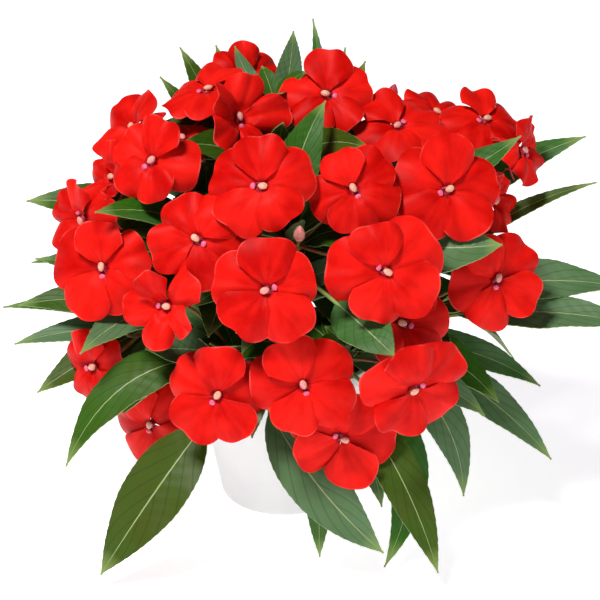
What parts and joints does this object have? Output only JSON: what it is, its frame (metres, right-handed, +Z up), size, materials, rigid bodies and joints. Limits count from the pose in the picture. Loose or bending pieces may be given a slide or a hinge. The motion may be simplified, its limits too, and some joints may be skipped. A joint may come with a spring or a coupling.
{
  "type": "potted new guinea impatiens",
  "caption": "Potted New Guinea impatiens: a dense dome of broad orange-red blooms over dark lance-shaped leaves on short fleshy stems, in a plain white tapered pot",
  "frame": {"origin": "the middle of the pot's flat underside, where it stands", "axes": "+X to the right seen from the front of the picture, +Y to the back, +Z up"},
  "size_m": [0.3862, 0.3159, 0.2914],
  "materials": {
    "pot_plastic": "smooth white plastic, soft gloss",
    "soil": "dark crumbly peat, matt",
    "leaf": "satin, with paler veins",
    "stem": "smooth and fleshy, tinged red",
    "petal": "soft velvety",
    "column": "matt cream",
    "bud": "smooth, satin"
  },
  "bodies": {
    "root": {"pot": "pot_plastic", "potting_soil": "soil", "stem_centre": "leaf", "stem_inner_1": "leaf", "stem_inner_2": "leaf", "stem_inner_3": "leaf", "stem_inner_4": "leaf", "stem_inner_5": "leaf", "stem_outer_1": "leaf", "stem_outer_2": "leaf", "stem_outer_3": "leaf", "stem_outer_4": "leaf", "stem_outer_5": "leaf", "stem_outer_6": "leaf", "stem_outer_7": "leaf", "bloom_01": "petal", "bloom_02": "petal", "bloom_03": "petal", "bloom_04": "petal", "bloom_05": "petal", "bloom_06": "petal", "bloom_07": "petal", "bloom_08": "petal", "bloom_09": "petal", "bloom_10": "petal", "bloom_11": "petal", "bloom_12": "petal", "bloom_13": "petal", "bloom_14": "petal", "bloom_15": "petal", "bloom_16": "petal", "bloom_17": "petal", "bloom_18": "petal", "bloom_19": "petal", "bloom_20": "petal", "bloom_21": "petal", "bloom_22": "petal", "bloom_23": "petal", "bloom_24": "petal", "bloom_25": "petal", "bloom_26": "petal", "bloom_27": "petal", "bloom_28": "petal", "bloom_29": "petal", "bloom_30": "petal", "bloom_31": "petal", "bloom_32": "petal", "bloom_33": "petal", "bloom_34": "petal", "bloom_35": "petal", "bloom_36": "petal", "bloom_37": "petal", "bud_01": "bud", "bud_02": "bud", "bud_03": "bud", "bud_04": "bud"}
  },
  "joints": []
}
